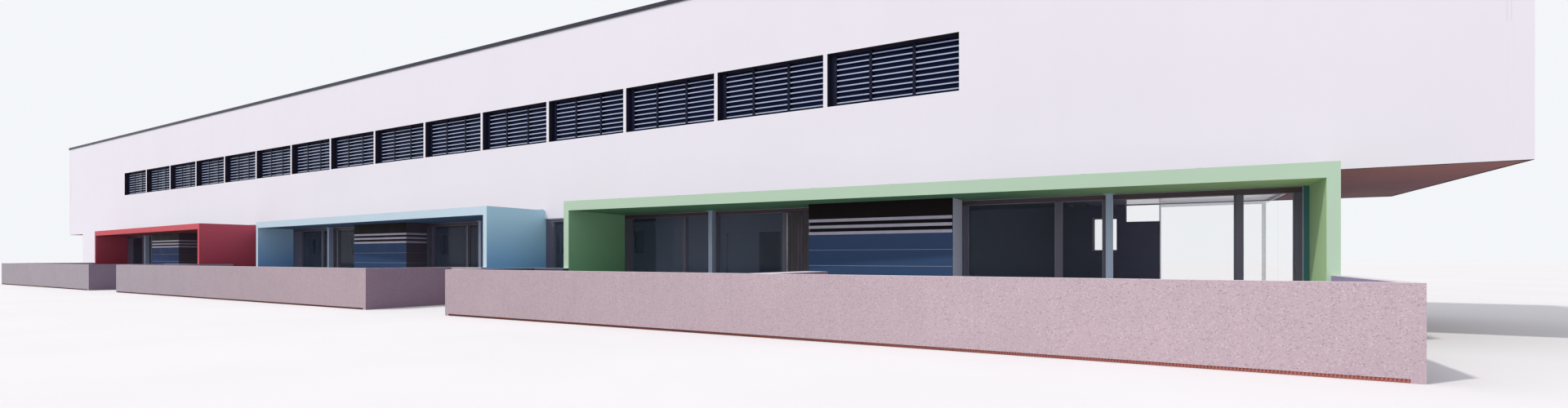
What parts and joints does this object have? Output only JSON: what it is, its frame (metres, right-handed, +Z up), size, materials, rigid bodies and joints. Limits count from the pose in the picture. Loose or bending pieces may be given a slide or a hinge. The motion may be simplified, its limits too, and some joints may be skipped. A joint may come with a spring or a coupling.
{
  "type": "school building, 1:2 scale model",
  "caption": "Long two-storey school building: pale upper storey with a louvred window band over glazed ground-floor boxes in green, blue and red, with low patio walls. Scale model at 1:2.",
  "frame": {"origin": "centre of the footprint, patios included, on the ground", "axes": "+X along the length, to the right as seen from the front, +Y from the front to the back, +Z up; the front faces -Y"},
  "size_m": [36.53, 6.315, 4.67],
  "materials": {
    "concrete": "trowelled floor concrete",
    "roof_concrete": "grey roof covering",
    "patio_concrete": "speckled pinkish cast concrete",
    "white_render": "smooth pale render",
    "soffit_render": "flat brown render",
    "green_render": "smooth pale green render",
    "blue_render": "smooth pale blue render",
    "red_render": "smooth red render",
    "navy_board": "navy painted boards",
    "plinth_strip": "dark brown painted strip",
    "coping_metal": "dark grey coated sheet",
    "louvre_metal": "pale blue-grey coated blades",
    "dark_frame": "dark brown-grey coated frame",
    "pale_frame": "pale anodised slender frame",
    "rail_metal": "light grey painted rail",
    "post_steel": "light blue-grey painted steel",
    "tinted_glass": "dark tinted glass"
  },
  "bodies": {
    "building": {"ground_floor": "concrete", "front_floors": "concrete", "upper_floor": "soffit_render", "roof_slab": "roof_concrete", "coping_long": "coping_metal", "coping_ends": "coping_metal", "front_sill_wall": "white_render", "front_head_wall": "white_render", "front_band_piers": "white_render", "front_louvres": "louvre_metal", "back_sill_wall": "white_render", "back_head_wall": "white_render", "back_band_piers": "white_render", "back_louvres": "louvre_metal", "band_glass": "tinted_glass", "upper_end_walls": "white_render", "ground_front_wall": "white_render", "ground_back_wall": "white_render", "ground_plain_walls": "white_render", "screen_frames": "dark_frame", "screen_glass": "tinted_glass", "end_frames": "pale_frame", "end_glass": "tinted_glass", "green_roof": "green_render", "green_walls": "green_render", "green_frames": "dark_frame", "green_glass": "tinted_glass", "blue_roof": "blue_render", "blue_walls": "blue_render", "blue_frames": "dark_frame", "blue_glass": "tinted_glass", "red_roof": "red_render", "red_walls": "red_render", "red_frames": "dark_frame", "red_glass": "tinted_glass", "door_heads": "dark_frame", "storage_cores": "navy_board", "core_rails": "rail_metal", "steel_posts": "post_steel", "patio_fronts": "patio_concrete", "patio_returns": "patio_concrete", "patio_plinths": "plinth_strip"},
    "green_leaf": {"green_door": "dark_frame"},
    "blue_leaf": {"blue_door": "dark_frame"},
    "red_leaf": {"red_door": "dark_frame"}
  },
  "joints": [
    {"name": "green_door_hinge", "type": "hinge", "parent": "building", "child": "green_leaf", "pos_m": [11.124, -0.5765, 0.7], "axis": [0, 0, -1], "range_deg": [0, 85]},
    {"name": "blue_door_hinge", "type": "hinge", "parent": "building", "child": "blue_leaf", "pos_m": [0.544, -0.5765, 0.7], "axis": [0, 0, -1], "range_deg": [0, 85]},
    {"name": "red_door_hinge", "type": "hinge", "parent": "building", "child": "red_leaf", "pos_m": [-10.036, -0.5765, 0.7], "axis": [0, 0, -1], "range_deg": [0, 85]}
  ]
}
